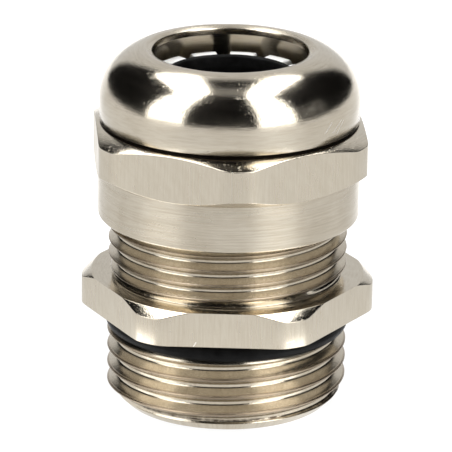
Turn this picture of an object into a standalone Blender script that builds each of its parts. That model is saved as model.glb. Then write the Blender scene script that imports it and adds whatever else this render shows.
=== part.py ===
"""Cable gland with an M20 x 1.5 connection thread, for Blender 4.5.

Metres, +Z up. The origin is the centre of the connection thread's end face, and +Z runs along the
cable passage towards the cap nut. Every outline below is in millimetres, as (radius, height) points that
run down the outside of the piece and back up its inside.
"""

import math

import bmesh
import bpy
from mathutils import Matrix, Vector

MM = 0.001

# Turned surfaces
TURN_STEPS = 40
ROWS_PER_PITCH = 5
MERGE_DISTANCE = 0.00001

# Hexagons, both 22 mm across the flats, with their corners turned off
ACROSS_FLATS = 22.0
CORNER_RADIUS = 12.12
CAP_CORNER_ANGLE = math.radians(36.65)
BODY_CORNER_ANGLE = 0.0

# Connection thread: M20 x 1.5, right-hand
CONNECTION_CREST = 9.97
CONNECTION_PITCH = 1.5
CONNECTION_DEPTH = 0.85
CONNECTION_START = 0.35
CONNECTION_END = 5.95
CONNECTION_CREST_HEIGHT = 4.79
END_CHAMFER_RADIUS = 8.55

# O-ring groove under the hexagon, with a shallow recess above the ring
SEAT_RADIUS = 8.3
RECESS_RADIUS = 10.4
RECESS_DEPTH = 0.2
O_RING_RADIUS = 9.35
O_RING_SECTION = 0.78
O_RING_HEIGHT = 7.02
O_RING_SECTION_STEPS = 10

# Body hexagon
BODY_HEX_BOTTOM = 8.05
BODY_HEX_TOP = 10.97
BODY_HEX_TOP_RADIUS = 11.3
BODY_HEX_CHAMFER_DROP = 0.66

# Cap thread, on the upper end of the body and inside the cap nut
CAP_CREST = 9.9
CAP_PITCH = 1.25
CAP_DEPTH = 0.72
CAP_THREAD_START = 11.55
CAP_THREAD_END = 20.0
CAP_CREST_HEIGHT = 12.93
BODY_TOP = 20.5
NECK_RADIUS = 9.5
THREAD_PLAY = 0.24

# Cable passage in the body
BODY_BORE = 6.2
CAGE_SEAT_RADIUS = 7.9
CAGE_SEAT_HEIGHT = 13.8

# Cap nut
COLLAR_BOTTOM = 16.02
COLLAR_RADIUS = 10.78
CAP_HEX_BOTTOM = 19.98
CAP_HEX_BOTTOM_RADIUS = 10.95
CAP_HEX_CORNER_BOTTOM = 20.75
CAP_HEX_TOP = 23.98
CAP_HEX_TOP_RADIUS = 10.72
CAP_HEX_CORNER_TOP = 23.33
GROOVE_TOP = 24.19
GROOVE_RADIUS = 10.35
DOME_RADIUS = 10.73
SHOULDER_RADIUS = 4.3
SHOULDER_CENTRE_HEIGHT = 25.9
SHOULDER_SWEEP = math.radians(75.0)
SHOULDER_STEPS = 8
RIM_RADIUS = 7.0
RIM_HEIGHT = 30.12
MOUTH_RADIUS = 6.43
MOUTH_EDGE_HEIGHT = 29.95
MOUTH_BOTTOM = 29.45
CONE_HALF_ANGLE = math.radians(27.0)
CONE_BOTTOM = 23.3
RELIEF_RADIUS = 10.1
RELIEF_BOTTOM = 21.7

# Clamping cage
FIT_GAP = 0.3
CAGE_INNER = 6.75
CAGE_FLANGE_RADIUS = 8.7
CAGE_FLANGE_THICKNESS = 1.1
FINGER_COUNT = 12
FINGER_FIRST_ANGLE = math.radians(22.65)
FINGER_WIDTH = math.radians(21.0)
FINGER_STEPS = 3
HINGE_RADIUS = 7.95
HINGE_HEIGHT = 22.0

# Sealing insert
SEAL_OUTER = 6.45
SEAL_BORE = 4.8
SEAL_LIP_TOP = 27.75
SEAL_LIP_BOTTOM = 26.6
SEAL_LIP_RADIUS = 5.2
SEAL_LEAD = 0.35


def clear_scene():
    """Remove everything that the scene holds."""
    for item in list(bpy.data.objects):
        bpy.data.objects.remove(item, do_unlink=True)


def new_collection(name):
    """Make a collection under the scene's own."""
    group = bpy.data.collections.new(name)
    bpy.context.scene.collection.children.link(group)
    return group


def new_material(name, colour, roughness, metallic):
    """Make a Principled material with one colour."""
    material = bpy.data.materials.new(name)
    material.use_nodes = True
    shader = material.node_tree.nodes["Principled BSDF"]
    shader.inputs["Base Color"].default_value = (*colour, 1.0)
    shader.inputs["Roughness"].default_value = roughness
    shader.inputs["Metallic"].default_value = metallic
    return material


def add_object(name, mesh, group, material=None):
    """Link a mesh into a collection as a named object."""
    item = bpy.data.objects.new(name, mesh)
    group.objects.link(item)
    if material:
        mesh.materials.append(material)
    return item


def evaluated_mesh(item):
    """Return the object's mesh with its modifiers applied."""
    depsgraph = bpy.context.evaluated_depsgraph_get()
    return bpy.data.meshes.new_from_object(item.evaluated_get(depsgraph))


def outline_mesh(name, outline):
    """Make a closed loop of edges from (radius, height) points in the XZ plane."""
    mesh = bpy.data.meshes.new(name)
    verts = [(radius * MM, 0.0, height * MM) for radius, height in outline]
    count = len(verts)
    mesh.from_pydata(verts, [(i, (i + 1) % count) for i in range(count)], [])
    return mesh


def turned_object(name, outline, group, material):
    """Turn an outline about Z with a Screw modifier."""
    item = add_object(name, outline_mesh(name, outline), group, material)
    screw = item.modifiers.new("Turn", "SCREW")
    screw.axis = "Z"
    screw.angle = math.tau
    screw.steps = TURN_STEPS
    screw.render_steps = TURN_STEPS
    screw.use_merge_vertices = True
    screw.merge_threshold = MERGE_DISTANCE
    screw.use_normal_calculate = True
    return item


def thread_rows(top, bottom, pitch):
    """Heights of the rows that a thread is drawn with, from top to bottom."""
    count = math.ceil((top - bottom) / pitch * ROWS_PER_PITCH)
    return [top + (bottom - top) * i / count for i in range(count + 1)]


def thread_radius(height, angle, crest, depth, pitch, crest_height):
    """Radius of a right-hand thread whose crest passes crest_height at angle -90 degrees."""
    turns = (height - crest_height) / pitch - (angle + math.pi / 2) / math.tau
    wave = 0.5 + 0.62 * math.cos(math.tau * turns)
    return crest - depth * (1.0 - min(1.0, max(0.0, wave)))


def cut_thread(item, base_radius, low, high, thread):
    """Apply the turning and move the surface rows between two heights to the thread's radius."""
    mesh = evaluated_mesh(item)
    item.modifiers.clear()
    for vert in mesh.vertices:
        radius = math.hypot(vert.co.x, vert.co.y) / MM
        height = vert.co.z / MM
        if abs(radius - base_radius) < 0.01 and low < height < high:
            angle = math.atan2(vert.co.y, vert.co.x)
            scale = thread(height, angle) / radius
            vert.co.x *= scale
            vert.co.y *= scale
    item.data = mesh


def cut_hexagon(item, corner_angle, cutters):
    """Mill six flats on a turned piece."""
    work = bmesh.new()
    corner = ACROSS_FLATS / math.sqrt(3.0) * MM
    bmesh.ops.create_cone(
        work, cap_ends=True, segments=6, radius1=corner, radius2=corner, depth=80.0 * MM
    )
    mesh = bpy.data.meshes.new(item.name + "_hexagon")
    work.to_mesh(mesh)
    work.free()
    cutter = add_object(item.name + "_hexagon", mesh, cutters)
    cutter.rotation_euler.z = corner_angle - math.pi / 2
    cutter.hide_render = True
    cutter.display_type = "WIRE"
    cut = item.modifiers.new("Flats", "BOOLEAN")
    cut.operation = "INTERSECT"
    cut.solver = "EXACT"
    cut.object = cutter


def shade(item):
    """Shade a round piece smooth, with its edges kept sharp."""
    item.data.shade_smooth()
    item.data.set_sharp_from_angle(angle=math.radians(30.0))


def connection_thread(height, angle):
    """Radius of the connection thread, running into the chamfered end."""
    radius = thread_radius(
        height, angle, CONNECTION_CREST, CONNECTION_DEPTH, CONNECTION_PITCH, CONNECTION_CREST_HEIGHT
    )
    return min(radius, END_CHAMFER_RADIUS + height)


def cap_thread(height, angle):
    """Radius of the cap thread, running into the chamfered top."""
    radius = thread_radius(height, angle, CAP_CREST, CAP_DEPTH, CAP_PITCH, CAP_CREST_HEIGHT)
    return min(radius, CAP_CREST + CAP_THREAD_END - height)


def cap_female_thread(height, angle):
    """Radius of the thread inside the cap nut, clear of the body's by the play."""
    return THREAD_PLAY + thread_radius(
        height, angle, CAP_CREST, CAP_DEPTH, CAP_PITCH, CAP_CREST_HEIGHT
    )


def make_gland_body(group, cutters, material):
    """Body with the connection thread, the hexagon and the cap thread."""
    upper_base = CAP_CREST - CAP_DEPTH / 2
    lower_base = CONNECTION_CREST - CONNECTION_DEPTH / 2
    outline = [(NECK_RADIUS - 0.3, BODY_TOP)]
    outline += [(upper_base, z) for z in thread_rows(CAP_THREAD_END + 0.25, CAP_THREAD_START, CAP_PITCH)]
    outline += [
        (NECK_RADIUS, CAP_THREAD_START - 0.3),
        (NECK_RADIUS, BODY_HEX_TOP),
        (BODY_HEX_TOP_RADIUS, BODY_HEX_TOP),
        (CORNER_RADIUS, BODY_HEX_TOP - BODY_HEX_CHAMFER_DROP),
        (CORNER_RADIUS, BODY_HEX_BOTTOM),
        (RECESS_RADIUS, BODY_HEX_BOTTOM),
        (RECESS_RADIUS, BODY_HEX_BOTTOM + RECESS_DEPTH),
        (SEAT_RADIUS, BODY_HEX_BOTTOM + RECESS_DEPTH),
        (SEAT_RADIUS, CONNECTION_END + 0.3),
    ]
    outline += [(lower_base, z) for z in thread_rows(CONNECTION_END, CONNECTION_START, CONNECTION_PITCH)]
    outline += [
        (END_CHAMFER_RADIUS, 0.0),
        (BODY_BORE + 0.4, 0.0),
        (BODY_BORE, 0.4),
        (BODY_BORE, CAGE_SEAT_HEIGHT),
        (CAGE_SEAT_RADIUS, CAGE_SEAT_HEIGHT),
        (CAGE_SEAT_RADIUS, BODY_TOP - 0.3),
        (CAGE_SEAT_RADIUS + 0.3, BODY_TOP),
    ]
    body = turned_object("gland_body", outline, group, material)
    cut_thread(body, upper_base, CAP_THREAD_START - 0.01, BODY_TOP, cap_thread)
    cut_thread(body, lower_base, 0.01, CONNECTION_END + 0.01, connection_thread)
    cut_hexagon(body, BODY_CORNER_ANGLE, cutters)
    shade(body)
    return body


def shoulder_points():
    """The dome's round shoulder, from the rim down to the cylinder."""
    centre = DOME_RADIUS - SHOULDER_RADIUS
    points = []
    for i in range(SHOULDER_STEPS + 1):
        angle = SHOULDER_SWEEP * (1.0 - i / SHOULDER_STEPS)
        radius = centre + SHOULDER_RADIUS * math.cos(angle)
        points.append((radius, SHOULDER_CENTRE_HEIGHT + SHOULDER_RADIUS * math.sin(angle)))
    return points


def make_cap_nut(group, cutters, material):
    """Domed cap nut: mouth, inner cone, thread, collar, hexagon, groove and dome."""
    cone_radius = MOUTH_RADIUS + (MOUTH_BOTTOM - CONE_BOTTOM) * math.tan(CONE_HALF_ANGLE)
    thread_base = CAP_CREST - CAP_DEPTH / 2 + THREAD_PLAY
    outline = [(MOUTH_RADIUS, MOUTH_EDGE_HEIGHT), (RIM_RADIUS, RIM_HEIGHT)]
    outline += shoulder_points()
    outline += [
        (DOME_RADIUS, GROOVE_TOP),
        (GROOVE_RADIUS, GROOVE_TOP),
        (GROOVE_RADIUS, CAP_HEX_TOP),
        (CAP_HEX_TOP_RADIUS, CAP_HEX_TOP),
        (CORNER_RADIUS, CAP_HEX_CORNER_TOP),
        (CORNER_RADIUS, CAP_HEX_CORNER_BOTTOM),
        (CAP_HEX_BOTTOM_RADIUS, CAP_HEX_BOTTOM),
        (COLLAR_RADIUS, CAP_HEX_BOTTOM),
        (COLLAR_RADIUS, COLLAR_BOTTOM + 0.12),
        (COLLAR_RADIUS - 0.12, COLLAR_BOTTOM),
        (RELIEF_RADIUS + 0.12, COLLAR_BOTTOM),
    ]
    rows = thread_rows(RELIEF_BOTTOM - 0.2, COLLAR_BOTTOM + 0.5, CAP_PITCH)
    outline += [(thread_base, z) for z in reversed(rows)]
    outline += [
        (RELIEF_RADIUS, RELIEF_BOTTOM),
        (RELIEF_RADIUS, CONE_BOTTOM),
        (cone_radius, CONE_BOTTOM),
        (MOUTH_RADIUS, MOUTH_BOTTOM),
    ]
    cap = turned_object("cap_nut", outline, group, material)
    cut_thread(cap, thread_base, COLLAR_BOTTOM + 0.4, RELIEF_BOTTOM, cap_female_thread)
    cut_hexagon(cap, CAP_CORNER_ANGLE, cutters)
    shade(cap)
    return cap


def make_o_ring(group, material):
    """O-ring under the body's hexagon."""
    bpy.ops.mesh.primitive_torus_add(
        major_radius=O_RING_RADIUS * MM,
        minor_radius=O_RING_SECTION * MM,
        major_segments=TURN_STEPS,
        minor_segments=O_RING_SECTION_STEPS,
        location=(0.0, 0.0, O_RING_HEIGHT * MM),
    )
    ring = bpy.context.object
    ring.name = "connection_o_ring"
    for owner in list(ring.users_collection):
        owner.objects.unlink(ring)
    group.objects.link(ring)
    ring.data.materials.append(material)
    ring.data.shade_smooth()
    return ring


def make_cage_ring(group, material):
    """Ring of the clamping cage: a skirt inside the body and a flange on its top."""
    flange_bottom = BODY_TOP + FIT_GAP
    flange_top = flange_bottom + CAGE_FLANGE_THICKNESS
    skirt_radius = CAGE_SEAT_RADIUS - FIT_GAP
    outline = [
        (CAGE_FLANGE_RADIUS - 0.2, flange_top),
        (CAGE_FLANGE_RADIUS, flange_top - 0.2),
        (CAGE_FLANGE_RADIUS, flange_bottom),
        (skirt_radius, flange_bottom),
        (skirt_radius, CAGE_SEAT_HEIGHT + FIT_GAP + 0.3),
        (skirt_radius - 0.3, CAGE_SEAT_HEIGHT + FIT_GAP),
        (CAGE_INNER, CAGE_SEAT_HEIGHT + FIT_GAP),
        (CAGE_INNER, flange_top),
    ]
    ring = turned_object("clamping_cage_ring", outline, group, material)
    shade(ring)
    return ring


def make_sealing_insert(group, material):
    """Rubber sleeve inside the cage, with a narrow lip at the top where the fingers close on it."""
    bottom = CAGE_SEAT_HEIGHT + FIT_GAP
    outline = [
        (SEAL_LIP_RADIUS, SEAL_LIP_TOP),
        (SEAL_LIP_RADIUS, SEAL_LIP_BOTTOM),
        (SEAL_OUTER, HINGE_HEIGHT),
        (SEAL_OUTER, bottom),
        (SEAL_BORE + SEAL_LEAD, bottom),
        (SEAL_BORE, bottom + SEAL_LEAD),
        (SEAL_BORE, SEAL_LIP_TOP - SEAL_LEAD / 2),
        (SEAL_BORE + SEAL_LEAD / 2, SEAL_LIP_TOP),
    ]
    seal = turned_object("sealing_insert", outline, group, material)
    shade(seal)
    return seal


def finger_mesh():
    """One clamping finger, its hinge line at the mesh's origin and its back towards +X."""
    outline = [
        (6.75, 27.75),
        (8.5, 22.15),
        (7.4, 22.15),
        (6.1, 26.75),
        (5.5, 27.2),
        (5.5, 27.95),
        (6.55, 27.95),
    ]
    work = bmesh.new()
    verts = [work.verts.new((radius * MM, 0.0, height * MM)) for radius, height in outline]
    count = len(verts)
    edges = [work.edges.new((verts[i], verts[(i + 1) % count])) for i in range(count)]
    start = Matrix.Rotation(-FINGER_WIDTH / 2, 4, "Z")
    bmesh.ops.transform(work, matrix=start, verts=verts)
    bmesh.ops.spin(
        work,
        geom=verts + edges,
        cent=(0.0, 0.0, 0.0),
        axis=(0.0, 0.0, 1.0),
        angle=FINGER_WIDTH,
        steps=FINGER_STEPS,
    )
    bmesh.ops.holes_fill(work, edges=work.edges[:], sides=0)
    bmesh.ops.recalc_face_normals(work, faces=work.faces[:])
    bmesh.ops.translate(work, vec=Vector((-HINGE_RADIUS, 0.0, -HINGE_HEIGHT)) * MM, verts=work.verts[:])
    mesh = bpy.data.meshes.new("clamp_finger")
    work.to_mesh(mesh)
    work.free()
    return mesh


def make_fingers(group, material):
    """Twelve fingers round the cage ring, each with its origin on its own hinge line."""
    mesh = finger_mesh()
    mesh.materials.append(material)
    for i in range(FINGER_COUNT):
        angle = FINGER_FIRST_ANGLE + math.tau * i / FINGER_COUNT
        finger = add_object(f"clamp_finger_{i + 1:02d}", mesh, group)
        finger.location = Matrix.Rotation(angle, 3, "Z") @ Vector((HINGE_RADIUS, 0.0, HINGE_HEIGHT)) * MM
        finger.rotation_euler.z = angle


def main():
    """Build the cable gland."""
    clear_scene()
    parts = new_collection("cable_gland")
    cutters = new_collection("cutters")
    nickel = new_material("nickel_plated_brass", (0.60, 0.56, 0.48), 0.28, 1.0)
    polyamide = new_material("grey_polyamide", (0.62, 0.63, 0.62), 0.5, 0.0)
    rubber = new_material("black_rubber", (0.012, 0.012, 0.013), 0.35, 0.0)
    make_gland_body(parts, cutters, nickel)
    make_o_ring(parts, rubber)
    make_cage_ring(parts, polyamide)
    make_fingers(parts, polyamide)
    make_sealing_insert(parts, rubber)
    make_cap_nut(parts, cutters, nickel)


main()
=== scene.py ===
"""Looks of the cable gland: detailed pieces, materials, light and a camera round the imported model.

Metres, +Z up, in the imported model's frame. Outlines are in millimetres. Each is a list of
(radius, height, round, zone) corners that runs down the outside of a piece and back up its inside.
"""

import math

import bmesh
import bpy
import numpy as np
from mathutils import Matrix, Vector


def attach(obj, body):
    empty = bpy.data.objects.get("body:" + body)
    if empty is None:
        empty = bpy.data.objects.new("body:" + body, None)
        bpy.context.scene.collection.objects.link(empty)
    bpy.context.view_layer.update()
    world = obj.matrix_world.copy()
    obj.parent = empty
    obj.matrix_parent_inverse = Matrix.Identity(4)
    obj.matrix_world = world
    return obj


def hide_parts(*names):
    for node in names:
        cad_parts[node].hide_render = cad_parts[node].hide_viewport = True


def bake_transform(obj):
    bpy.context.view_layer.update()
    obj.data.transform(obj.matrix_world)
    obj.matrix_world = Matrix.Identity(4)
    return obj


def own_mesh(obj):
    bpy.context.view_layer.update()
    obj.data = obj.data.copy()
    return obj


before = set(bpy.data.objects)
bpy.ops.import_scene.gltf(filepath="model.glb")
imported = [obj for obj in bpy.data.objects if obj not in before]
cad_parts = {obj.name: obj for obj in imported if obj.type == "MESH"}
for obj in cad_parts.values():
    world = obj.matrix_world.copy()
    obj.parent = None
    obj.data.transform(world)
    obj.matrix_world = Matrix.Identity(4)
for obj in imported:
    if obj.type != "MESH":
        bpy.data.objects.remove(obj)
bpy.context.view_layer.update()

MM = 0.001
ROUND_STEPS = 3
MERGE_DISTANCE = 2e-7

# Hexagons
ACROSS_FLATS = 22.0
CORNER_RADIUS = 12.12
CORNER_SOFTNESS = 0.11
CAP_CORNER_ANGLE = math.radians(36.65)
BODY_CORNER_ANGLE = 0.0
COLUMN_COUNT = 384

# Threads
CONNECTION = {"crest": 9.97, "depth": 0.85, "pitch": 1.5, "height": 4.79}
CAP = {"crest": 9.9, "depth": 0.72, "pitch": 1.25, "height": 12.93}
CONNECTION_START = 0.35
CONNECTION_END = 6.15
END_CHAMFER_RADIUS = 8.55
END_LINE_HEIGHT = 1.02
END_LINE_WIDTH = (0.05, 0.15)
CAP_THREAD_START = 11.55
CAP_THREAD_END = 20.0
THREAD_PLAY = 0.24
CREST_SHARE = 0.25
THREAD_ROUNDING = 0.07
SHOWN_ROWS = 22
HIDDEN_ROWS = 8

# Body
SEAT_RADIUS = 8.3
RECESS_RADIUS = 10.4
RECESS_DEPTH = 0.2
BODY_HEX_BOTTOM = 8.05
BODY_HEX_TOP = 10.97
BODY_HEX_TOP_RADIUS = 11.3
BODY_HEX_CHAMFER_DROP = 0.66
NECK_RADIUS = 9.5
BODY_TOP = 20.5
BODY_BORE = 6.2
CAGE_SEAT_RADIUS = 7.9
CAGE_SEAT_HEIGHT = 13.8

# O-ring
O_RING_RADIUS = 9.35
O_RING_SECTION = 0.78
O_RING_HEIGHT = 7.02

# Cap nut
COLLAR_BOTTOM = 16.02
COLLAR_RADIUS = 10.78
CAP_HEX_BOTTOM = 19.98
CAP_HEX_BOTTOM_RADIUS = 10.95
CAP_HEX_CORNER_BOTTOM = 20.75
CAP_HEX_TOP = 23.98
CAP_HEX_TOP_RADIUS = 10.72
CAP_HEX_CORNER_TOP = 23.33
GROOVE_TOP = 24.24
GROOVE_RADIUS = 9.95
DOME_RADIUS = 10.73
SHOULDER_RADIUS = 4.3
SHOULDER_CENTRE_HEIGHT = 25.9
SHOULDER_SWEEP = math.radians(75.0)
SHOULDER_STEPS = 40
RIM_RADIUS = 7.0
RIM_HEIGHT = 30.12
MOUTH_RADIUS = 6.43
MOUTH_EDGE_HEIGHT = 29.95
MOUTH_BOTTOM = 29.45
CONE_HALF_ANGLE = math.radians(27.0)
CONE_BOTTOM = 23.3
RELIEF_RADIUS = 10.1
RELIEF_BOTTOM = 21.7

# Clamping cage and seal
FIT_GAP = 0.3
CAGE_INNER = 6.75
CAGE_FLANGE_RADIUS = 8.7
CAGE_FLANGE_THICKNESS = 1.1
FINGER_COUNT = 12
FINGER_FIRST_ANGLE = math.radians(22.65)
FINGER_WIDTH = math.radians(20.0)
FINGER_OUTLINE = [
    (6.75, 27.75),
    (8.5, 22.15),
    (7.4, 22.15),
    (6.1, 26.75),
    (5.5, 27.2),
    (5.5, 27.95),
    (6.55, 27.95),
]
HINGE_RADIUS = 7.95
HINGE_HEIGHT = 22.0
HINGE_WIDTH = math.radians(16.0)
SEAL_OUTER = 6.45
SEAL_BORE = 4.8
LIP_RADIUS = 5.42
LIP_TOP = 28.1
LIP_BOTTOM = 26.6
SEAL_RIB_STEPS = 64
SEAL_RIB_PITCH = 2.0
SEAL_RIB_DEPTH = 0.3

# Centre of the milling cutter's faint arcs, in metres
ARC_CENTRE = (-0.025, 0.0, 0.002)

# Marks of use, each a line between two places
SCRATCH_WIDTH = 0.06
SCRATCHES = [
    ((5.57, -10.63, 10.41), (5.98, -9.65, 10.93)),
    ((8.6, -6.42, 25.1), (9.25, -5.44, 25.9)),
    ((8.9, -6.0, 24.9), (9.4, -5.17, 25.8)),
    ((8.0, -7.15, 25.3), (8.5, -6.55, 26.0)),
    ((-2.25, -11.0, 8.12), (-2.05, -11.0, 8.45)),
    ((-7.1, -9.82, 8.75), (-6.5, -10.23, 8.68)),
    ((5.3, -10.9, 8.6), (5.9, -10.58, 8.68)),
]

# Camera: metres and radians, with the lens in millimetres
VIEW_DISTANCE = 0.3437
VIEW_ELEVATION = math.radians(18.75)
VIEW_AZIMUTH = math.radians(2.15)
VIEW_ROLL = math.radians(0.85)
VIEW_HEIGHT = 0.01476
VIEW_SHIFT = -0.00016
LENS = 330.1

# Nickel: colour straight on, darker copies of it as painted shade (slightly darker on the threads, darker
# inside the cone, near-black in the groove under the dome), its duller patches, and the darker and paler
# colours of worn places
NICKEL_PALE = (0.60, 0.545, 0.45)
NICKEL_THREAD_SHADED = (0.575, 0.518, 0.424)
NICKEL_CONE_SHADED = (0.46, 0.405, 0.32)
NICKEL_GROOVE_SHADE = (0.12, 0.1, 0.08)
NICKEL_DULLING = (0.80, 0.77, 0.72)
WORN_CREST = (0.30, 0.225, 0.15, 1.0)
WORN_END = (0.045, 0.03, 0.018, 1.0)
SCRATCHED = (0.95, 0.9, 0.82, 1.0)

# Rubber and plastic: the two colours that each one's clouds run between
RUBBER_COLOURS = (0.004, 0.004, 0.004, 1.0), (0.010, 0.010, 0.010, 1.0)
PLASTIC_COLOURS = (0.88, 0.885, 0.87, 1.0), (0.94, 0.945, 0.93, 1.0)

# Floor whose glow is painted light, painted darker from near to far in front and brighter again behind:
# directions in degrees round the gland from its front, distances from its axis in metres.
# FLOOR_SIDE brings the change from near to far closer by its third value. FLOOR_REAR is where its power
# starts and is full. FLOOR_LEFT and FLOOR_RIGHT are painted paler patches, each with its middle, width and
# power.
# The glow constants below paint pools of light on the floor under the two side panels.
FLOOR_SIZE = 4.0
FLOOR_NEAR = 0.93
FLOOR_FAR = 0.76
FLOOR_CHANGE = (0.026, 0.052)
FLOOR_SIDE = (105.0, 50.0, 0.010)
FLOOR_REAR = (132.0, 166.0, 0.45)
FLOOR_LEFT = (-62.0, 36.0, 0.10)
FLOOR_RIGHT = (43.0, 34.0, 0.20)
FLOOR_PAINTED_POOL = 1.5
FLOOR_PAINTED_POOL_SOFTNESS = 5.0
FLOOR_PAINTED_POOL_START = (0.0118, 0.0145)
FLOOR_PAINTED_POOL_END = (0.027, 0.033)

# Studio: directions in degrees, overhead strips and ceiling as places on a ceiling one unit up.
# The ceiling's and window's sides are each a place and its softness.
LEFT_PANEL = (-75.0, -39.0)
RIGHT_PANEL = (28.0, 63.0)
PANEL_TOP = 64.0
PANEL_SOFTNESS = 2.5
PANEL_POWER = 3.2
LEFT_STRIP = (0.21, 0.62)
RIGHT_STRIP = (0.21, 0.52)
LEFT_STRIP_FRONT = 1.0
RIGHT_STRIP_FRONT = 1.5
STRIP_REAR = 0.74
STRIP_SOFTNESS = 0.035
STRIP_POWER = 7.0
WALL_SIDE = 151.0
WALL_TOP = 64.0
WALL_SOFTNESS = 3.5
WALL_POWER = 0.78
CEILING_FRONT = (-0.33, 0.12)
CEILING_REAR = (0.02, 0.05)
CEILING_BOTTOM = 60.0
CEILING_POWER = 0.34
WINDOW_LEFT = (67.0, 4.0)
WINDOW_RIGHT = (96.0, 8.0)
WINDOW_BOTTOM = (6.0, 4.0)
WINDOW_TOP = (27.0, 6.0)
WINDOW_POWER = 0.5
HORIZON_SOFTNESS = 1.5
DARK_POWER = 0.006


# ---------------------------------------------------------------- meshes


def column_angles(corner_angle):
    """Angles of a hexagonal piece's mesh columns, starting at one of its corners."""
    return corner_angle + even_angles(COLUMN_COUNT)


def even_angles(count):
    """Angles of evenly spread mesh columns."""
    return np.arange(count) * math.tau / count


def hexagon_radius(angles, corner_angle):
    """Distance from the axis to the hexagon's flats and its turned-down corners at each angle."""
    local = np.mod(angles - corner_angle, math.tau / 6) - math.tau / 12
    radius = ACROSS_FLATS / 2 / np.cos(local)
    gap = (radius - CORNER_RADIUS) / CORNER_SOFTNESS
    return radius - CORNER_SOFTNESS * np.logaddexp(0.0, gap)


def thread_radius(angles, height, thread):
    """Radius of a right-hand thread with rounded crests and roots at each angle."""
    turns = (height - thread["height"]) / thread["pitch"] - (angles + math.pi / 2) / math.tau
    away = np.abs(turns - np.round(turns)) * thread["pitch"]
    flank = thread["depth"] * math.tan(math.radians(30.0))
    crest_half = (thread["pitch"] / 2 - flank) * CREST_SHARE
    share = (away - crest_half) / flank
    soft = THREAD_ROUNDING
    lower = soft * np.logaddexp(0.0, share / soft)
    bounded = 1.0 - soft * np.logaddexp(0.0, (1.0 - lower) / soft)
    return thread["crest"] - thread["depth"] * np.clip(bounded, 0.0, 1.0)


def thread_corners(angles, top, bottom, thread, rows, zone, limit=None, play=0.0):
    """Outline corners of a thread from one height to another."""
    count = max(1, round(abs(top - bottom) / thread["pitch"] * rows))
    corners = []
    for i in range(count + 1):
        height = top + (bottom - top) * i / count
        radius = thread_radius(angles, height, thread) + play
        if limit:
            radius = np.minimum(radius, limit(height))
        corners.append((radius, height, 0.0, zone))
    return corners


def outline_rows(angles, outline):
    """Rows of (radius, height) points, one point per column, with the outline's corners rounded."""
    places = []
    for radius, height, _, _ in outline:
        radius = np.broadcast_to(radius, angles.shape)
        places.append(np.stack([radius, np.broadcast_to(height, angles.shape)], 1).astype(float))
    rows, zones = [], []
    for i, (_, _, size, zone) in enumerate(outline):
        here = places[i]
        if size <= 0.0:
            rows.append(here)
            zones.append(zone)
            continue
        ends = []
        for other in (places[i - 1], places[(i + 1) % len(places)]):
            away = other - here
            length = np.maximum(np.linalg.norm(away, axis=1, keepdims=True), 1e-9)
            ends.append(here + away * np.minimum(size / length, 0.45))
        for step in range(ROUND_STEPS + 1):
            t = step / ROUND_STEPS
            rows.append((1 - t) ** 2 * ends[0] + 2 * t * (1 - t) * here + t * t * ends[1])
            zones.append(zone)
    return np.array(rows), zones


def swept_piece(name, angles, outline, materials, body, stands_for):
    """Sweep an outline round Z into a closed piece that rides on a body."""
    rows, zones = outline_rows(angles, outline)
    row_count, column_count = rows.shape[:2]
    radius, height = rows[..., 0], rows[..., 1]
    points = np.stack([radius * np.cos(angles), radius * np.sin(angles), height], -1) * MM
    index = np.arange(row_count * column_count).reshape(row_count, column_count)
    below = np.roll(index, -1, 0)
    faces = np.stack([index, below, np.roll(below, -1, 1), np.roll(index, -1, 1)], -1)
    slots = list(materials)
    zone_slots = np.array([slots.index(zone) if zone in slots else 0 for zone in zones])
    face_slots = np.repeat(zone_slots, column_count)
    mesh = bpy.data.meshes.new(name)
    mesh.from_pydata(points.reshape(-1, 3).tolist(), [], faces.reshape(-1, 4).tolist())
    for material in materials.values():
        mesh.materials.append(material)
    mesh.polygons.foreach_set("material_index", face_slots.astype(np.int32))
    return finished_piece(name, mesh, body, stands_for)


def finished_piece(name, mesh, body, stands_for):
    """Clean a mesh, shade it smooth and set it on its body in place of its CAD nodes."""
    work = bmesh.new()
    work.from_mesh(mesh)
    bmesh.ops.remove_doubles(work, verts=work.verts[:], dist=MERGE_DISTANCE)
    work.to_mesh(mesh)
    work.free()
    mesh.shade_smooth()
    piece = bpy.data.objects.new(name, mesh)
    bpy.context.scene.collection.objects.link(piece)
    normals = piece.modifiers.new("Normals", "WEIGHTED_NORMAL")
    normals.weight = 80
    if body:
        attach(piece, body)
    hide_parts(*stands_for)
    return piece


# ---------------------------------------------------------------- metal pieces


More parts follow.
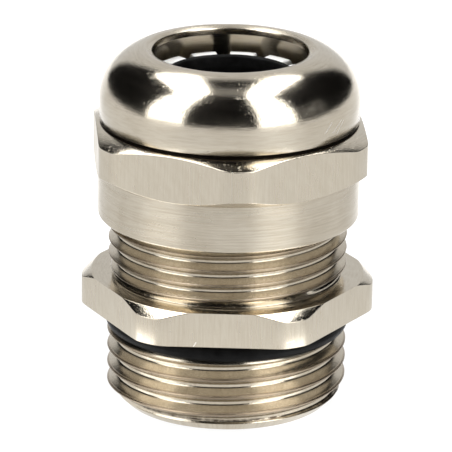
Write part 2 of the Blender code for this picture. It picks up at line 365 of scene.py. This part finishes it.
def make_body(nickel):
    """Gland body with both threads, the hexagon and the cable passage."""
    angles = column_angles(BODY_CORNER_ANGLE)
    edge = hexagon_radius(angles, BODY_CORNER_ANGLE)
    slope = BODY_HEX_CHAMFER_DROP / (CORNER_RADIUS - BODY_HEX_TOP_RADIUS)
    chamfer = BODY_HEX_TOP - slope * np.maximum(edge - BODY_HEX_TOP_RADIUS, 0.0)
    shown_top = COLLAR_BOTTOM + CAP["pitch"] / 2
    outline = [(NECK_RADIUS - 0.3, BODY_TOP, 0.05, "turned")]
    outline += thread_corners(
        angles, CAP_THREAD_END, shown_top, CAP, HIDDEN_ROWS, "thread",
        limit=lambda z: CAP["crest"] + CAP_THREAD_END - z - 0.3,
    )
    outline += thread_corners(angles, shown_top - 0.06, CAP_THREAD_START, CAP, SHOWN_ROWS, "thread")
    outline += [
        (NECK_RADIUS, CAP_THREAD_START - 0.05, 0.0, "chamfer"),
        (NECK_RADIUS, BODY_HEX_TOP, 0.05, "chamfer"),
        (np.minimum(edge, BODY_HEX_TOP_RADIUS), BODY_HEX_TOP, 0.04, "chamfer"),
        (edge, chamfer, 0.05, "milled"),
        (edge, BODY_HEX_BOTTOM, 0.06, "turned"),
        (RECESS_RADIUS, BODY_HEX_BOTTOM, 0.03, "turned"),
        (RECESS_RADIUS, BODY_HEX_BOTTOM + RECESS_DEPTH, 0.0, "turned"),
        (SEAT_RADIUS, BODY_HEX_BOTTOM + RECESS_DEPTH, 0.1, "turned"),
        (SEAT_RADIUS, CONNECTION_END + 0.1, 0.03, "turned"),
    ]
    outline += thread_corners(
        angles, CONNECTION_END, CONNECTION_START, CONNECTION, SHOWN_ROWS, "thread",
        limit=lambda z: END_CHAMFER_RADIUS + z,
    )
    outline += [
        (END_CHAMFER_RADIUS, 0.0, 0.12, "turned"),
        (BODY_BORE + 0.4, 0.0, 0.1, "turned"),
        (BODY_BORE, 0.4, 0.1, "turned"),
        (BODY_BORE, CAGE_SEAT_HEIGHT, 0.05, "turned"),
        (CAGE_SEAT_RADIUS, CAGE_SEAT_HEIGHT, 0.05, "turned"),
        (CAGE_SEAT_RADIUS, BODY_TOP - 0.3, 0.05, "turned"),
        (CAGE_SEAT_RADIUS + 0.3, BODY_TOP, 0.03, "turned"),
    ]
    piece = swept_piece("gland_body_metal", angles, outline, nickel, "gland", ["gland_body"])


def shoulder_corners():
    """The dome's round shoulder, from the rim down to the cylinder."""
    centre = DOME_RADIUS - SHOULDER_RADIUS
    corners = []
    for i in range(SHOULDER_STEPS + 1):
        angle = SHOULDER_SWEEP * (1.0 - i / SHOULDER_STEPS)
        radius = centre + SHOULDER_RADIUS * math.cos(angle)
        corners.append((radius, SHOULDER_CENTRE_HEIGHT + SHOULDER_RADIUS * math.sin(angle), 0.0, "dome"))
    return corners


def make_cap(nickel):
    """Cap nut: rim, dome, groove, hexagon and collar outside, thread, cone and mouth inside."""
    angles = column_angles(CAP_CORNER_ANGLE)
    edge = hexagon_radius(angles, CAP_CORNER_ANGLE)
    top_slope = (CAP_HEX_TOP - CAP_HEX_CORNER_TOP) / (CORNER_RADIUS - CAP_HEX_TOP_RADIUS)
    low_slope = (CAP_HEX_CORNER_BOTTOM - CAP_HEX_BOTTOM) / (CORNER_RADIUS - CAP_HEX_BOTTOM_RADIUS)
    cone_radius = MOUTH_RADIUS + (MOUTH_BOTTOM - CONE_BOTTOM) * math.tan(CONE_HALF_ANGLE)
    outline = [
        (MOUTH_RADIUS, MOUTH_EDGE_HEIGHT, 0.1, "turned"),
        (RIM_RADIUS, RIM_HEIGHT, 0.12, "dome"),
    ]
    outline += shoulder_corners()
    outline += [
        # The groove under the dome takes a near-black copy of the plating: painted shade.
        (DOME_RADIUS, GROOVE_TOP + 0.05, 0.0, "groove_shade"),
        (DOME_RADIUS - 0.04, GROOVE_TOP, 0.0, "groove_shade"),
        (GROOVE_RADIUS, GROOVE_TOP, 0.02, "groove_shade"),
        (GROOVE_RADIUS, CAP_HEX_TOP, 0.02, "groove_shade"),
        (CAP_HEX_TOP_RADIUS, CAP_HEX_TOP, 0.05, "chamfer"),
        (edge, CAP_HEX_TOP - top_slope * (edge - CAP_HEX_TOP_RADIUS), 0.05, "milled"),
        (edge, CAP_HEX_BOTTOM + low_slope * (edge - CAP_HEX_BOTTOM_RADIUS), 0.05, "turned"),
        (CAP_HEX_BOTTOM_RADIUS, CAP_HEX_BOTTOM, 0.04, "turned"),
        (COLLAR_RADIUS, CAP_HEX_BOTTOM, 0.05, "turned"),
        (COLLAR_RADIUS, COLLAR_BOTTOM + 0.15, 0.06, "turned"),
        (COLLAR_RADIUS - 0.15, COLLAR_BOTTOM, 0.04, "turned"),
        (RELIEF_RADIUS + 0.12, COLLAR_BOTTOM, 0.04, "turned"),
    ]
    outline += thread_corners(
        angles, COLLAR_BOTTOM + 0.5, RELIEF_BOTTOM - 0.2, CAP, HIDDEN_ROWS, "thread", play=THREAD_PLAY
    )
    outline += [
        (RELIEF_RADIUS, RELIEF_BOTTOM, 0.0, "turned"),
        (RELIEF_RADIUS, CONE_BOTTOM, 0.05, "turned"),
        (cone_radius, CONE_BOTTOM, 0.05, "cone"),
        (MOUTH_RADIUS, MOUTH_BOTTOM, 0.05, "cone"),
    ]
    piece = swept_piece("cap_nut_metal", angles, outline, nickel, "cap", ["cap_nut"])


# ---------------------------------------------------------------- rubber and plastic pieces


def make_o_ring(rubber):
    """O-ring with the fine raised line that its mould leaves round it."""
    steps = 56
    outline = []
    for i in range(steps):
        angle = math.pi / 2 - math.tau * i / steps
        line = 0.02 * math.exp(-((math.sin(angle) / 0.09) ** 2)) * (math.cos(angle) > 0)
        section = O_RING_SECTION - 0.02 + line
        height = O_RING_HEIGHT + section * math.sin(angle)
        outline.append((O_RING_RADIUS + section * math.cos(angle), height, 0.0, "rubber"))
    materials = {"rubber": rubber}
    piece = swept_piece(
        "connection_o_ring_rubber", even_angles(220), outline, materials, "gland", ["connection_o_ring"]
    )


def make_seal(rubber):
    """Sealing insert with shallow ribs round its bore and a soft lip inside the finger tips."""
    bottom = CAGE_SEAT_HEIGHT + FIT_GAP
    outline = [
        (LIP_RADIUS - 0.15, LIP_TOP, 0.12, "rubber"),
        (LIP_RADIUS, LIP_TOP - 0.35, 0.12, "rubber"),
        (LIP_RADIUS, LIP_BOTTOM, 0.3, "rubber"),
        (SEAL_OUTER, HINGE_HEIGHT, 0.3, "rubber"),
        (SEAL_OUTER, bottom, 0.25, "rubber"),
        (SEAL_BORE + 0.35, bottom, 0.15, "rubber"),
        (SEAL_BORE, bottom + 0.35, 0.15, "rubber"),
    ]
    low, high = bottom + 1.0, LIP_TOP - 0.9
    for i in range(SEAL_RIB_STEPS + 1):
        height = low + (high - low) * i / SEAL_RIB_STEPS
        wave = 0.5 - 0.5 * math.cos(math.tau * (height - low) / SEAL_RIB_PITCH)
        outline.append((SEAL_BORE + SEAL_RIB_DEPTH * wave, height, 0.0, "rubber"))
    outline.append((SEAL_BORE + 0.1, LIP_TOP - 0.12, 0.1, "rubber"))
    piece = swept_piece(
        "sealing_insert_rubber", even_angles(200), outline, {"rubber": rubber}, "cage", ["sealing_insert"]
    )
    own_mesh(piece)


def make_cage_ring(plastic):
    """Ring that the clamping fingers are moulded onto."""
    flange_bottom = BODY_TOP + FIT_GAP
    flange_top = flange_bottom + CAGE_FLANGE_THICKNESS
    skirt = CAGE_SEAT_RADIUS - FIT_GAP
    skirt_bottom = CAGE_SEAT_HEIGHT + FIT_GAP
    outline = [
        (CAGE_FLANGE_RADIUS, flange_top, 0.2, "plastic"),
        (CAGE_FLANGE_RADIUS, flange_bottom, 0.1, "plastic"),
        (skirt, flange_bottom, 0.1, "plastic"),
        (skirt, skirt_bottom, 0.3, "plastic"),
        (CAGE_INNER, skirt_bottom, 0.15, "plastic"),
        (CAGE_INNER, flange_top, 0.15, "plastic"),
    ]
    materials = {"plastic": plastic}
    piece = swept_piece(
        "cage_ring_plastic", even_angles(160), outline, materials, "cage", ["clamping_cage_ring"]
    )


def spun_mesh(name, outline, width, steps):
    """Part of a turn of a closed (radius, height) outline, centred on +X, with flat ends."""
    work = bmesh.new()
    verts = [work.verts.new((radius * MM, 0.0, height * MM)) for radius, height in outline]
    edges = [work.edges.new((verts[i], verts[(i + 1) % len(verts)])) for i in range(len(verts))]
    bmesh.ops.transform(work, matrix=Matrix.Rotation(-width / 2, 4, "Z"), verts=verts)
    bmesh.ops.spin(
        work, geom=verts + edges, cent=(0, 0, 0), axis=(0, 0, 1), angle=width, steps=steps
    )
    bmesh.ops.holes_fill(work, edges=work.edges[:], sides=0)
    bmesh.ops.recalc_face_normals(work, faces=work.faces[:])
    mesh = bpy.data.meshes.new(name)
    work.to_mesh(mesh)
    work.free()
    mesh.shade_smooth()
    return mesh


def make_finger(number, mesh, angle):
    """One clamping finger with moulded, rounded edges."""
    name = f"finger_{number:02d}"
    finger = bpy.data.objects.new(name + "_plastic", mesh)
    bpy.context.scene.collection.objects.link(finger)
    finger.rotation_euler.z = angle
    rounding = finger.modifiers.new("Rounding", "BEVEL")
    rounding.width = 0.24 * MM
    rounding.segments = 3
    rounding.angle_limit = math.radians(20.0)
    finger.modifiers.new("Normals", "WEIGHTED_NORMAL")
    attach(finger, name)
    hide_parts("clamp_" + name)


def make_hinge(number, plastic, angle):
    """Thin moulded strip between the cage's ring and one finger."""
    ring_top = BODY_TOP + FIT_GAP + CAGE_FLANGE_THICKNESS
    foot = FINGER_OUTLINE[1][1]
    inner, outer = HINGE_RADIUS - 0.25, HINGE_RADIUS + 0.25
    levels = np.linspace(ring_top - 0.15, foot + 0.2, 9)
    outline = [(outer, z) for z in levels] + [(inner, z) for z in levels[::-1]]
    mesh = spun_mesh(f"hinge_strip_{number:02d}", outline, HINGE_WIDTH, 8)
    mesh.materials.append(plastic)
    mesh.transform(Matrix.Rotation(angle, 4, "Z"))
    strip = bpy.data.objects.new(mesh.name, mesh)
    bpy.context.scene.collection.objects.link(strip)
    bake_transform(strip)


def make_fingers(plastic):
    """Twelve clamping fingers and their living hinges."""
    mesh = spun_mesh("clamping_finger", FINGER_OUTLINE, FINGER_WIDTH, 14)
    mesh.materials.append(plastic)
    for i in range(FINGER_COUNT):
        angle = FINGER_FIRST_ANGLE + math.tau * i / FINGER_COUNT
        make_finger(i + 1, mesh, angle)
        make_hinge(i + 1, plastic, angle)


# ---------------------------------------------------------------- materials


class Nodes:
    """A node tree under construction."""

    def __init__(self, owner):
        """Start on a material's or world's own nodes."""
        owner.use_nodes = True
        self.tree = owner.node_tree

    def feed(self, socket, value):
        """Link an output to a socket, or set the socket's own value."""
        if isinstance(value, bpy.types.NodeSocket):
            self.tree.links.new(value, socket)
        else:
            socket.default_value = value

    def add(self, kind, inputs=None, output=0, **settings):
        """Make a node and return one of its outputs."""
        node = self.tree.nodes.new("ShaderNode" + kind)
        for key, value in settings.items():
            setattr(node, key, value)
        for key, value in (inputs or {}).items():
            self.feed(node.inputs[key], value)
        return node.outputs[output]

    def math(self, operation, *values):
        """Result of a Math node."""
        return self.add("Math", dict(enumerate(values)), operation=operation)

    def fit(self, value, low, high, to_low=0.0, to_high=1.0, smooth=False):
        """Map a value from one range to another, clamped."""
        inputs = {"Value": value, "From Min": low, "From Max": high, "To Min": to_low, "To Max": to_high}
        kind = "SMOOTHSTEP" if smooth else "LINEAR"
        return self.add("MapRange", inputs, interpolation_type=kind)

    def noise(self, vector, scale=1.0, detail=2.0, rough=0.5, distortion=0.0):
        """Noise factor at a place."""
        inputs = {
            "Vector": vector, "Scale": scale, "Detail": detail, "Roughness": rough, "Distortion": distortion
        }
        return self.add("TexNoise", inputs)

    def mix(self, share, first, second):
        """Colour between two colours."""
        node = self.tree.nodes.new("ShaderNodeMix")
        node.data_type = "RGBA"
        self.feed(node.inputs[0], share)
        self.feed(node.inputs[6], first)
        self.feed(node.inputs[7], second)
        return node.outputs[2]

    def round_place(self):
        """Unit direction from the axis, height and radius of a point, as four outputs."""
        x, y, z = self.split(self.add("TexCoord", output="Object"))
        radius = self.math("SQRT", self.math("ADD", self.math("POWER", x, 2.0), self.math("POWER", y, 2.0)))
        return self.math("DIVIDE", x, radius), self.math("DIVIDE", y, radius), z, radius

    def split(self, vector):
        """The three parts of a vector."""
        node = self.tree.nodes.new("ShaderNodeSeparateXYZ")
        self.feed(node.inputs[0], vector)
        return node.outputs

    def turned(self, around, across):
        """Coordinates that change slowly round the axis and fast across the turning marks."""
        x, y, z, radius = self.round_place()
        along = self.math("MULTIPLY", self.math("SUBTRACT", z, radius), across / MM)
        return self.join(self.math("MULTIPLY", x, around), self.math("MULTIPLY", y, around), along)

    def upright(self, around, along):
        """Coordinates that change fast round the axis and slowly with height."""
        x, y, z, _ = self.round_place()
        return self.join(
            self.math("MULTIPLY", x, around),
            self.math("MULTIPLY", y, around),
            self.math("MULTIPLY", z, along / MM),
        )

    def join(self, x, y, z):
        """A vector from three parts."""
        return self.add("CombineXYZ", {0: x, 1: y, 2: z})

    def scratch(self, place, first, last):
        """Share of a thin scratch between two places in millimetres."""
        first, last = Vector(first) * MM, Vector(last) * MM
        run = last - first
        away = self.add("VectorMath", {0: place, 1: first}, operation="SUBTRACT")
        along = self.add("VectorMath", {0: away, 1: run}, output="Value", operation="DOT_PRODUCT")
        share = self.fit(along, 0.0, run.length_squared)
        nearest = self.add("VectorMath", {0: run, "Scale": share}, operation="SCALE")
        gap = self.add("VectorMath", {0: away, 1: nearest}, output="Value", operation="DISTANCE")
        return self.fit(gap, SCRATCH_WIDTH * 0.3 * MM, SCRATCH_WIDTH * MM, 1.0, 0.0)

    def bump(self, height, distance, strength=1.0, normal=None):
        """Normal bent by a height."""
        inputs = {"Height": height, "Distance": distance, "Strength": strength}
        if normal:
            inputs["Normal"] = normal
        return self.add("Bump", inputs)


def worn_thread(nodes, base, rough, normal, chip_depth):
    """Browner, rougher and chipped thread crests, and a broken dark line at the thread's end."""
    place = nodes.add("TexCoord", output="Object")
    _, _, height, radius = nodes.round_place()
    crest = nodes.fit(radius, (CAP["crest"] - 0.13) * MM, (CAP["crest"] - 0.02) * MM)
    base = nodes.mix(nodes.math("MULTIPLY", crest, 0.75), base, WORN_CREST)
    rough = nodes.math("ADD", rough, nodes.math("MULTIPLY", crest, 0.15))
    line = nodes.math("ABSOLUTE", nodes.math("SUBTRACT", height, END_LINE_HEIGHT * MM))
    line = nodes.fit(line, END_LINE_WIDTH[0] * MM, END_LINE_WIDTH[1] * MM, 1.0, 0.0)
    patches = nodes.noise(place, scale=1100.0, detail=4.0, rough=0.7)
    broken = nodes.fit(patches, 0.42, 0.58, 0.35, 0.95)
    base = nodes.mix(nodes.math("MULTIPLY", line, broken), base, WORN_END)
    chips = nodes.noise(place, scale=2300.0, detail=4.0, rough=0.8)
    normal = nodes.bump(nodes.math("MULTIPLY", chips, crest), chip_depth * MM, normal=normal)
    return base, rough, normal


def milling_arcs(nodes, tone):
    """Tone of a milled flat with the cutter's faint arcs added."""
    place = nodes.add("TexCoord", output="Object")
    reach = nodes.add("VectorMath", {0: place, 1: ARC_CENTRE}, output="Value", operation="DISTANCE")
    arcs = nodes.noise(nodes.join(reach, 0.0, 0.0), scale=1800.0, detail=1.0)
    return nodes.math("ADD", tone, nodes.fit(arcs, 0.4, 0.6, -0.18, 0.18))


def nickel_material(name, marks, colour, roughness, depth, **look):
    """Nickel plating over turned or milled brass. marks is (kind, around, across) of its tool marks.

    Depths are in millimetres. look may hold patch (strength of the duller patches), streak (how much the
    tool marks stretch reflections), grain, pitting and crest (depths), and scratches.
    """
    material = bpy.data.materials.new(name)
    nodes = Nodes(material)
    kind, around, across = marks
    marks_at = nodes.turned if kind == "turned" else nodes.upright
    surface = nodes.tree.nodes["Principled BSDF"]
    fine = nodes.noise(marks_at(around, across), detail=3.0, rough=0.7)
    coarse = nodes.noise(marks_at(around * 0.6, across * 0.28), detail=2.0)
    place = nodes.add("TexCoord", output="Object")
    cloud = nodes.noise(place, scale=420.0, detail=3.0)
    grain = nodes.noise(place, scale=5200.0, detail=3.0, rough=0.65)
    pits = nodes.fit(nodes.noise(place, scale=3600.0, detail=3.0, rough=0.7), 0.62, 0.76)
    tone = nodes.math("ADD", nodes.fit(fine, 0.42, 0.66), nodes.fit(cloud, 0.35, 0.65, 0.0, 0.6))
    if kind == "upright":
        tone = milling_arcs(nodes, tone)
    dull = tuple(part * share for part, share in zip(colour, NICKEL_DULLING))
    base = nodes.mix(nodes.math("MULTIPLY", tone, look.get("patch", 0.4)), (*colour, 1.0), (*dull, 1.0))
    spread = nodes.math("ADD", nodes.fit(coarse, 0.3, 0.7, 0.0, 0.5), nodes.fit(cloud, 0.3, 0.7, 0.0, 0.5))
    rough = nodes.fit(spread, 0.0, 1.0, roughness[0], roughness[1])
    normal = nodes.bump(grain, look.get("grain", 0.0025) * MM)
    normal = nodes.bump(coarse, depth * 1.6 * MM, normal=normal)
    normal = nodes.bump(fine, depth * MM, normal=normal)
    normal = nodes.bump(pits, look.get("pitting", 0.003) * MM, normal=normal)
    if "crest" in look:
        base, rough, normal = worn_thread(nodes, base, rough, normal, look["crest"])
    for first, last in look.get("scratches", ()):
        mark = nodes.scratch(place, first, last)
        base = nodes.mix(mark, base, SCRATCHED)
        rough = nodes.math("MAXIMUM", rough, nodes.math("MULTIPLY", mark, 0.55))
    nodes.feed(surface.inputs["Base Color"], base)
    surface.inputs["Metallic"].default_value = 1.0
    nodes.feed(surface.inputs["Roughness"], rough)
    nodes.feed(surface.inputs["Normal"], normal)
    surface.inputs["Anisotropic"].default_value = look.get("streak", 0.6)
    surface.inputs["Anisotropic Rotation"].default_value = 0.25 if kind == "turned" else 0.0
    nodes.feed(surface.inputs["Tangent"], nodes.add("Tangent", direction_type="RADIAL", axis="Z"))
    return material


def nickel_set():
    """The nickel's finishes and its painted-shade copies, by the zone of an outline that each one covers.
    """
    return {
        "turned": nickel_material(
            "nickel_turned", ("turned", 3.0, 8.0), NICKEL_PALE, (0.20, 0.31), 0.0016,
            streak=0.8, patch=0.55,
        ),
        "dome": nickel_material(
            "nickel_dome", ("turned", 5.0, 5.0), NICKEL_PALE, (0.11, 0.18), 0.0052,
            streak=0.75, grain=0.005, pitting=0.0045, scratches=SCRATCHES[1:4],
        ),
        "milled": nickel_material(
            "nickel_milled", ("upright", 75.0, 0.35), NICKEL_PALE, (0.19, 0.30), 0.0010,
            patch=0.28, scratches=SCRATCHES[4:],
        ),
        "chamfer": nickel_material(
            "nickel_chamfer", ("turned", 8.0, 7.0), NICKEL_PALE, (0.09, 0.17), 0.0022,
            streak=0.5, grain=0.009, pitting=0.010, scratches=SCRATCHES[:1],
        ),
        # Near-black copy of the plating for the groove under the dome: painted shade.
        "groove_shade": nickel_material(
            "nickel_groove_shade", ("turned", 6.0, 6.0), NICKEL_GROOVE_SHADE, (0.3, 0.45), 0.002, streak=0.3
        ),
        # Darker copy of the plating inside the cone: painted shade.
        "cone": nickel_material(
            "nickel_cone_shaded", ("turned", 6.0, 9.0), NICKEL_CONE_SHADED, (0.16, 0.27), 0.006,
            streak=0.8, patch=0.7,
        ),
        # Slightly darker copy of the plating for the threads: painted shade of their flanks and valleys.
        "thread": nickel_material(
            "nickel_thread_shaded", ("turned", 45.0, 6.0), NICKEL_THREAD_SHADED, (0.14, 0.24), 0.003,
            streak=0.8, patch=0.6, crest=0.04,
        ),
    }


def rubber_material():
    """Black rubber with a faint bloom."""
    material = bpy.data.materials.new("black_rubber")
    nodes = Nodes(material)
    surface = nodes.tree.nodes["Principled BSDF"]
    place = nodes.add("TexCoord", output="Object")
    bloom = nodes.noise(place, scale=900.0, detail=4.0)
    grain = nodes.noise(place, scale=4500.0, detail=4.0, rough=0.7)
    share = nodes.fit(bloom, 0.4, 0.75)
    nodes.feed(surface.inputs["Base Color"], nodes.mix(share, *RUBBER_COLOURS))
    nodes.feed(surface.inputs["Roughness"], nodes.fit(bloom, 0.3, 0.7, 0.3, 0.5))
    surface.inputs["Specular IOR Level"].default_value = 0.06
    normal = nodes.bump(grain, 0.03 * MM)
    nodes.feed(surface.inputs["Normal"], nodes.bump(bloom, 0.05 * MM, normal=normal))
    return material


def plastic_material():
    """Pale grey polyamide with a fine moulded grain."""
    material = bpy.data.materials.new("grey_polyamide")
    nodes = Nodes(material)
    surface = nodes.tree.nodes["Principled BSDF"]
    place = nodes.add("TexCoord", output="Object")
    cloud = nodes.noise(place, scale=700.0, detail=3.0)
    grain = nodes.noise(place, scale=7000.0, detail=3.0)
    share = nodes.fit(cloud, 0.35, 0.65)
    nodes.feed(surface.inputs["Base Color"], nodes.mix(share, *PLASTIC_COLOURS))
    nodes.feed(surface.inputs["Roughness"], nodes.fit(grain, 0.3, 0.7, 0.42, 0.58))
    surface.inputs["Subsurface Weight"].default_value = 0.15
    surface.inputs["Subsurface Radius"].default_value = (0.0006, 0.0006, 0.0005)
    nodes.feed(surface.inputs["Normal"], nodes.bump(grain, 0.006 * MM))
    return material


# ---------------------------------------------------------------- studio


def smooth_step(nodes, value, edge, soft):
    """0 below an edge and 1 above it, or the other way round where soft is negative."""
    return nodes.fit(value, edge - soft, edge + soft, smooth=True)


def product(nodes, *shares):
    """Several shares multiplied together."""
    total = shares[0]
    for share in shares[1:]:
        total = nodes.math("MULTIPLY", total, share)
    return total


def standing_panel(nodes, azimuth, elevation, sides, power):
    """Light of a tall soft box that stands on the floor's horizon, between two azimuths in degrees."""
    soft = math.radians(PANEL_SOFTNESS)
    return product(
        nodes,
        smooth_step(nodes, azimuth, math.radians(sides[0]), soft),
        smooth_step(nodes, azimuth, math.radians(sides[1]), -soft),
        smooth_step(nodes, elevation, 0.0, soft),
        smooth_step(nodes, elevation, math.radians(PANEL_TOP), -soft),
        power,
    )


def overhead_strip(nodes, across, along, width, front, power):
    """Light of a long soft box overhead. across and along are places on a ceiling one unit up."""
    soft = STRIP_SOFTNESS
    return product(
        nodes,
        smooth_step(nodes, across, width[0], soft),
        smooth_step(nodes, across, width[1], -soft),
        smooth_step(nodes, nodes.math("ADD", along, nodes.math("MULTIPLY", across, front)), 0.0, soft),
        smooth_step(nodes, along, STRIP_REAR, -soft),
        power,
    )


def window_light(nodes, azimuth, elevation):
    """Faint, uneven light of a window at the right, whose sides are (place, softness) in degrees."""
    shares = []
    for value, (place, soft), way in (
        (azimuth, WINDOW_LEFT, 1.0),
        (azimuth, WINDOW_RIGHT, -1.0),
        (elevation, WINDOW_BOTTOM, 1.0),
        (elevation, WINDOW_TOP, -1.0),
    ):
        shares.append(smooth_step(nodes, value, math.radians(place), way * math.radians(soft)))
    uneven = nodes.noise(nodes.join(azimuth, elevation, 0.0), scale=14.0, detail=3.0)
    return product(nodes, *shares, nodes.fit(uneven, 0.45, 0.65), WINDOW_POWER)


def wall_light(nodes, azimuth, elevation):
    """Light of the pale wall behind the gland."""
    soft = math.radians(WALL_SOFTNESS)
    return product(
        nodes,
        smooth_step(nodes, nodes.math("ABSOLUTE", azimuth), math.radians(WALL_SIDE), soft),
        smooth_step(nodes, elevation, math.radians(WALL_TOP), -soft),
        WALL_POWER,
    )


def ceiling_light(nodes, along, elevation):
    """Dim light of the ceiling between the overhead soft boxes."""
    return product(
        nodes,
        smooth_step(nodes, along, CEILING_FRONT[0], CEILING_FRONT[1]),
        smooth_step(nodes, along, CEILING_REAR[0], -CEILING_REAR[1]),
        smooth_step(nodes, elevation, math.radians(CEILING_BOTTOM), math.radians(WALL_SOFTNESS)),
        CEILING_POWER,
    )


def make_world():
    """Studio: soft boxes at both sides and overhead, a pale wall behind, dark in front and beside."""
    world = bpy.data.worlds.new("studio")
    bpy.context.scene.world = world
    nodes = Nodes(world)
    x, y, z = nodes.split(nodes.add("TexCoord", output="Generated"))
    azimuth = nodes.math("ARCTAN2", x, nodes.math("MULTIPLY", y, -1.0))
    elevation = nodes.math("ARCSINE", z)
    up = nodes.math("MAXIMUM", z, 0.001)
    across, along = nodes.math("DIVIDE", x, up), nodes.math("DIVIDE", y, up)
    left = nodes.math("MULTIPLY", across, -1.0)
    lights = [
        wall_light(nodes, azimuth, elevation),
        ceiling_light(nodes, along, elevation),
        window_light(nodes, azimuth, elevation),
        smooth_step(nodes, elevation, 0.0, -math.radians(HORIZON_SOFTNESS)),
        standing_panel(nodes, azimuth, elevation, LEFT_PANEL, PANEL_POWER),
        standing_panel(nodes, azimuth, elevation, RIGHT_PANEL, PANEL_POWER),
        overhead_strip(nodes, left, along, LEFT_STRIP, LEFT_STRIP_FRONT, STRIP_POWER),
        overhead_strip(nodes, across, along, RIGHT_STRIP, RIGHT_STRIP_FRONT, STRIP_POWER),
    ]
    level = DARK_POWER
    for light in lights:
        level = nodes.math("MAXIMUM", light, level)
    background = nodes.tree.nodes["Background"]
    nodes.feed(background.inputs["Color"], nodes.join(level, level, level))


def painted_floor_light(nodes):
    """Painted light on the floor: how strongly it glows at each place, so that the metal shows painted pale
    bands and pools.
    """
    place = nodes.add("TexCoord", output="Object")
    x, y, _ = nodes.split(place)
    azimuth = nodes.math("ARCTAN2", x, nodes.math("MULTIPLY", y, -1.0))
    away = nodes.add("VectorMath", {0: place}, output="Value", operation="LENGTH")
    turn = nodes.math("ABSOLUTE", azimuth)
    beside = nodes.math("ABSOLUTE", nodes.math("SUBTRACT", turn, math.radians(FLOOR_SIDE[0])))
    beside = nodes.fit(beside, 0.0, math.radians(FLOOR_SIDE[1]), FLOOR_SIDE[2], 0.0, True)
    far = nodes.fit(
        turn, math.radians(FLOOR_REAR[0]), math.radians(FLOOR_REAR[1]),
        FLOOR_FAR, FLOOR_FAR + FLOOR_REAR[2], True,
    )
    # The floor's glow is painted darker from near the gland to far away, and brighter again behind.
    share = nodes.fit(nodes.math("ADD", away, beside), *FLOOR_CHANGE, smooth=True)
    near = nodes.math("MULTIPLY", nodes.math("SUBTRACT", 1.0, share), FLOOR_NEAR)
    glow = nodes.math("ADD", near, nodes.math("MULTIPLY", far, share))
    # Painted paler patches of light at the left and right.
    for middle, width, power in (FLOOR_LEFT, FLOOR_RIGHT):
        side = nodes.math("ABSOLUTE", nodes.math("SUBTRACT", azimuth, math.radians(middle)))
        glow = nodes.math("ADD", glow, nodes.fit(side, 0.0, math.radians(width), power, 0.0, True))
    # Painted pools of light on the floor under the two side panels.
    start = nodes.fit(away, *FLOOR_PAINTED_POOL_START, 0.0, FLOOR_PAINTED_POOL, True)
    end = nodes.fit(away, *FLOOR_PAINTED_POOL_END, 1.0, 0.0, True)
    reach = nodes.math("MULTIPLY", start, end)
    soft = math.radians(FLOOR_PAINTED_POOL_SOFTNESS)
    for first, last in (LEFT_PANEL, RIGHT_PANEL):
        inside = smooth_step(nodes, azimuth, math.radians(first), soft)
        outside = smooth_step(nodes, azimuth, math.radians(last), -soft)
        glow = nodes.math("ADD", glow, product(nodes, inside, outside, reach))
    return glow


def make_floor():
    """Floor that glows with painted white light of its own, in bands, patches and pools."""
    work = bmesh.new()
    bmesh.ops.create_grid(work, x_segments=4, y_segments=4, size=FLOOR_SIZE / 2)
    mesh = bpy.data.meshes.new("floor")
    work.to_mesh(mesh)
    work.free()
    floor = bpy.data.objects.new("floor", mesh)
    bpy.context.scene.collection.objects.link(floor)
    material = bpy.data.materials.new("floor")
    nodes = Nodes(material)
    surface = nodes.tree.nodes["Principled BSDF"]
    surface.inputs["Base Color"].default_value = (0.08, 0.08, 0.08, 1.0)
    surface.inputs["Roughness"].default_value = 0.9
    surface.inputs["Emission Color"].default_value = (1.0, 1.0, 1.0, 1.0)
    nodes.feed(surface.inputs["Emission Strength"], painted_floor_light(nodes))
    mesh.materials.append(material)


def make_camera():
    """Camera in front of the gland, looking down on it with a long lens."""
    side = Vector((math.cos(VIEW_AZIMUTH), math.sin(VIEW_AZIMUTH), 0.0))
    back = Vector((
        math.sin(VIEW_AZIMUTH) * math.cos(VIEW_ELEVATION),
        -math.cos(VIEW_AZIMUTH) * math.cos(VIEW_ELEVATION),
        math.sin(VIEW_ELEVATION),
    ))
    up = back.cross(side)
    roll = Matrix.Rotation(VIEW_ROLL, 3, back)
    place = Matrix((roll @ side, roll @ up, back)).transposed().to_4x4()
    place.translation = side * VIEW_SHIFT + Vector((0.0, 0.0, VIEW_HEIGHT)) + back * VIEW_DISTANCE
    data = bpy.data.cameras.new("camera")
    data.lens = LENS
    data.clip_start = 0.01
    camera = bpy.data.objects.new("camera", data)
    bpy.context.scene.collection.objects.link(camera)
    camera.matrix_world = place
    bpy.context.scene.camera = camera


def main():
    """Build the looks round the frame."""
    bpy.context.scene.view_settings.view_transform = "Standard"
    nickel = nickel_set()
    rubber = rubber_material()
    plastic = plastic_material()
    make_body(nickel)
    make_cap(nickel)
    make_o_ring(rubber)
    make_seal(rubber)
    make_cage_ring(plastic)
    make_fingers(plastic)
    make_world()
    make_floor()
    make_camera()


main()
